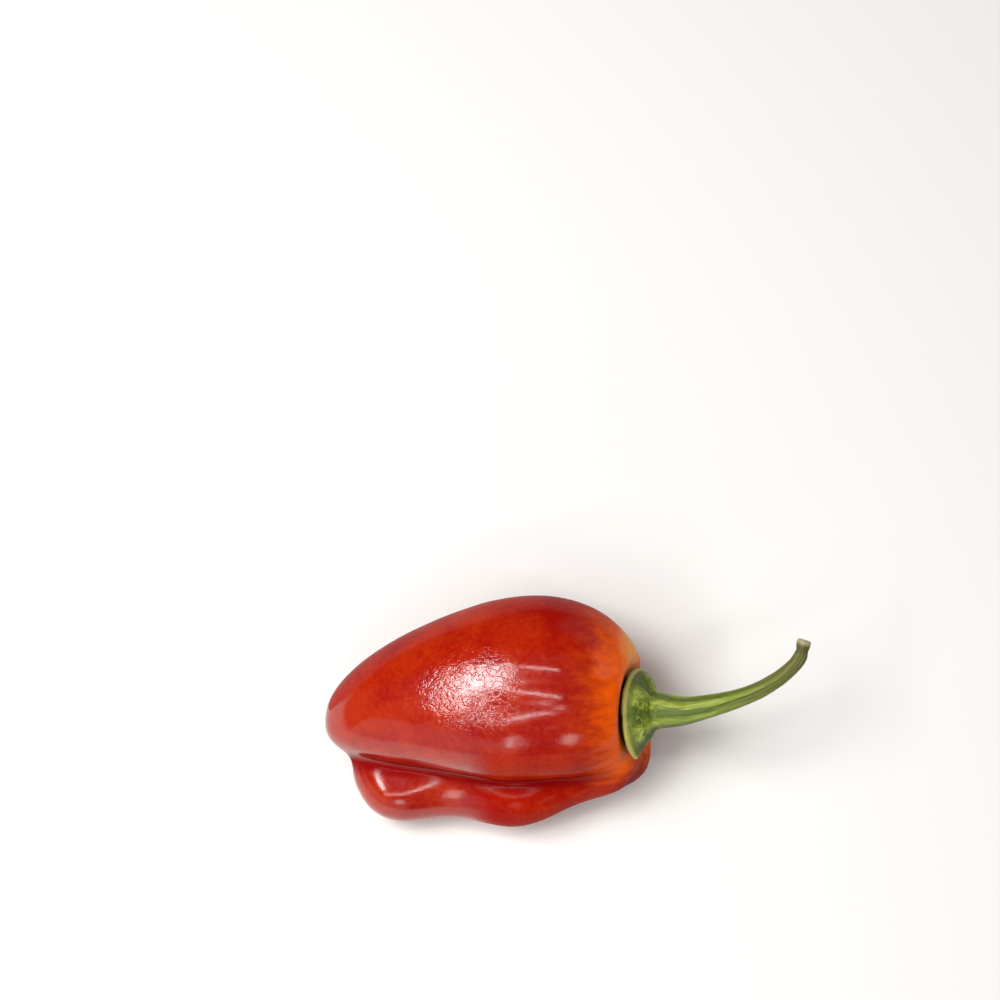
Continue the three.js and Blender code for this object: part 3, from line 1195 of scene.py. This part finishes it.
@dataclass(frozen=True)
class StalkFinish:
    """Green fibrous tissue: an olive tip, a tan rim and a pale cut end.

    Its random fibre tones get painted shade in the grooves and painted light on the ridges; shade is also
    painted under the stalk and in the calyx's knotted hollows, and light on the knots' tops.
    """

    green: Colour = srgb(116, 132, 28)
    # Dark green: painted shade in the grooves, under the stalk and in the knots' hollows, and the dark line
    # inside the rim.
    groove: Colour = srgb(76, 92, 12)
    # Pale green: random pale fibres, with painted light on the ridges and on the knots' tops.
    light: Colour = srgb(158, 170, 72)
    olive: Colour = srgb(90, 88, 32)
    rim: Colour = srgb(178, 166, 84)
    cut: Colour = srgb(158, 146, 112)
    ring: Colour = srgb(74, 66, 24)
    fibre_height: float = 0.05 * MM
    knot_height: float = 0.5 * MM
    grain_height: float = 0.012 * MM
    greens: Span = (0.3, 0.62)
    # Where the pale fibres and the painted light on the ridges fade in.
    lights: Span = (0.72, 1.0)
    olive_starts: Span = (0.45, 0.85)
    # Where the painted shade in the knots' hollows and the painted light on their tops fade in.
    knot_hollow_shade: Span = (0.5, 0.36)
    knot_top_light: Span = (0.54, 0.66)
    ring_starts: Span = (0.925, 0.945)
    ring_ends: Span = (0.955, 0.975)
    cut_starts: Span = (0.975, 0.995)

    def material(self) -> bpy.types.Material:
        """Builds the material of the calyx and stalk.

        Returns:
            The material.
        """
        nodes = Nodes.start("green_stalk")
        height = nodes.attribute("height")
        ridge = nodes.attribute("ridge")
        fibres = nodes.noise(nodes.attribute("fibre", "Vector"), 1.1, 4.0)
        patches = nodes.noise(nodes.place(), 0.6, 3.0)
        grain = nodes.noise(nodes.place(), 4.0, 3.0)
        plate = nodes.attribute("plate")
        knots = nodes.noise(nodes.place(), 1.0, 3.0, 0.7)
        neck = height.ramp(*self.ring_starts) - height.ramp(*self.ring_ends)
        body = nodes.layered(
            # Random fibre tones, with painted shade in the grooves and painted light on the ridges.
            nodes.mix((ridge * 0.25 + fibres).ramp(*self.greens), self.groove, self.green),
            ((ridge * 0.2 + fibres + patches * 0.4).ramp(*self.lights) * 0.7, self.light),
            # Painted shade on the stalk's lower side.
            (nodes.attribute("below") * 0.6, self.groove),
            ((height + (patches - 0.5) * 0.3).ramp(*self.olive_starts) * 0.85, self.olive),
            # Painted shade in the knots' hollows and painted light on their tops, following the knots' bump.
            (knots.ramp(*self.knot_hollow_shade) * plate * 0.75, self.groove),
            (knots.ramp(*self.knot_top_light) * plate * 0.5, self.light),
            (nodes.attribute("tooth") * 0.6, self.olive),
            (nodes.attribute("line") * 0.75, self.groove),
            (nodes.attribute("rim") * 0.85, self.rim),
            (neck * 0.7, self.ring),
            ((height + patches * 0.02).ramp(*self.cut_starts), self.cut),
        )
        normal = nodes.bump(fibres, self.fibre_height)
        normal = nodes.bump(knots * plate, self.knot_height, normal)
        normal = nodes.bump(grain, self.grain_height, normal)
        inputs = {"Base Color": body, "Roughness": 0.46 + grain * 0.2, "IOR": 1.45, "Normal": normal}
        return nodes.finish(nodes.surface(inputs))


@dataclass(frozen=True)
class SoftLight:
    """A rectangular soft light that faces the pod, placed by how far it leans from straight overhead.

    Its length lies in one plane with the direction up, and its width across that, until it is rolled.
    """

    name: str
    lean: tuple[float, float]
    spread: tuple[float, float]
    brightness: float
    roll: float = 0.0
    up: Point = (0.0, 1.0, 0.0)
    distance: float = 450.0

    def towards(self) -> Vector:
        """The unit direction from the pod, leaning in degrees to +x and to +y."""
        lean_x, lean_y = (math.tan(math.radians(lean)) for lean in self.lean)
        return Vector((lean_x, lean_y, 1.0)).normalized()

    def turned(self) -> Quaternion:
        """Turns its back to the direction and its length to up, and rolls it.

        Returns:
            The rotation.
        """
        towards = self.towards()
        side = Vector(self.up).cross(towards).normalized()
        facing = Matrix((side, towards.cross(side), towards)).transposed().to_quaternion()
        return facing @ Quaternion((0.0, 0.0, 1.0), math.radians(self.roll))

    def size(self) -> tuple[float, float]:
        """Its width and length, from the angles in degrees that it spans seen from the pod."""
        return tuple(2.0 * self.distance * math.tan(math.radians(angle / 2)) for angle in self.spread)

    def power(self) -> float:
        """Its power in watts: brightness times pi times its area in square metres."""
        across, along = self.size()
        return self.brightness * math.pi * across * along * MM * MM


@dataclass(frozen=True)
class Studio:
    """A plain pale floor, plain soft light, and the camera at the photograph's viewing angle."""

    floor_size: float = 3000.0
    floor_colour: Colour = srgb(228, 226, 223)
    sky: float = 0.09
    soft_lights: tuple[SoftLight, ...] = (
        SoftLight("left_pane", (-35.0, -5.0), (8.0, 48.0), 14.5),
        SoftLight("right_pane", (-23.0, 5.0), (19.0, 22.0), 13.5),
        SoftLight("far_strip", (7.0, 6.0), (28.0, 4.0), 10.0),
        SoftLight("middle_strip", (-1.0, -15.0), (52.0, 3.5), 10.0, -21.0),
        SoftLight("near_strip", (-10.0, -37.5), (46.0, 3.0), 10.0, 4.0),
        SoftLight("front_panel", (-66.0, -74.0), (66.0, 27.0), 0.52, up=(0.0, 0.0, 1.0)),
        SoftLight("front_left", (-14.0, -63.0), (10.0, 14.0), 3.4),
        SoftLight("front_right", (44.0, -64.0), (8.0, 12.0), 3.4),
        SoftLight("back_fill", (66.0, 62.0), (60.0, 30.0), 0.7, up=(0.0, 0.0, 1.0)),
    )
    sky_colour: Colour = (1.0, 0.99, 0.97, 1.0)
    camera_target: Point = (1.69, 31.64, -12.0)
    camera_elevation: float = 75.0
    camera_distance: float = 340.0
    camera_clip: float = 10.0
    focal_pixels: float = 2461.0
    image_pixels: float = 1000.0
    sensor: float = 36.0

    def floor(self) -> None:
        """Lays the floor that the pod rests on."""
        half = self.floor_size / 2 * MM
        mesh = bpy.data.meshes.new("floor")
        corners = [(-half, -half, 0.0), (half, -half, 0.0), (half, half, 0.0), (-half, half, 0.0)]
        mesh.from_pydata(corners, [], [range(len(corners))])
        nodes = Nodes.start("pale_floor")
        surface = nodes.surface({"Base Color": self.floor_colour, "Roughness": 0.7})
        mesh.materials.append(nodes.finish(surface))
        linked("floor", mesh)

    def light(self, lamp_form: SoftLight) -> None:
        """Hangs a soft light.

        Args:
            lamp_form: Where it hangs, how large it is and how bright.
        """
        lamp = bpy.data.lights.new(lamp_form.name, "AREA")
        lamp.shape = "RECTANGLE"
        lamp.size, lamp.size_y = (side * MM for side in lamp_form.size())
        lamp.energy = lamp_form.power()
        holder = linked(lamp_form.name, lamp)
        holder.location = (Vector(POD_AXIS) + lamp_form.towards() * lamp_form.distance) * MM
        holder.rotation_euler = lamp_form.turned().to_euler()

    def lights(self) -> None:
        """Sets up the sky and the soft lights."""
        world = bpy.data.worlds.new("soft_sky")
        world.use_nodes = True
        background = world.node_tree.nodes["Background"]
        background.inputs["Color"].default_value = self.sky_colour
        background.inputs["Strength"].default_value = self.sky
        bpy.context.scene.world = world
        for lamp_form in self.soft_lights:
            self.light(lamp_form)

    def camera(self) -> None:
        """Sets the camera where the photograph was taken from."""
        camera = bpy.data.cameras.new("camera")
        camera.sensor_width = self.sensor
        camera.lens = self.focal_pixels * self.sensor / self.image_pixels
        camera.clip_start = self.camera_clip * MM
        holder = linked("camera", camera)
        rise = math.radians(self.camera_elevation)
        back = Vector((0.0, -math.cos(rise), math.sin(rise)))
        target = Vector(self.camera_target) + Vector(POD_AXIS)
        holder.location = (target + back * self.camera_distance) * MM
        holder.rotation_euler = (-back).to_track_quat("-Z", "Y").to_euler()
        bpy.context.scene.camera = holder


def dress(piece: bpy.types.Object, material: bpy.types.Material, node: str) -> None:
    """Gives a piece its material and ties it to the frame.

    Args:
        piece: The fine piece.
        material: Its finish.
        node: The CAD node that it stands for.
    """
    piece.data.materials.append(material)
    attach(piece, "root")
    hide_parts(node)
    log.info("%s: %d faces for %s", piece.name, len(piece.data.polygons), node)


def main() -> None:
    """Builds the pod, the calyx with its stalk, and the studio."""
    logging.basicConfig(level=logging.INFO, format="%(name)s %(message)s")
    dress(Pod().build(), SkinFinish().material(), "pod")
    dress(CalyxAndStalk().build(), StalkFinish().material(), "calyx_and_stalk")
    studio = Studio()
    studio.floor()
    studio.lights()
    studio.camera()
    scene = bpy.context.scene
    scene.view_settings.view_transform = "Standard"


if __name__ == "__main__":
    main()
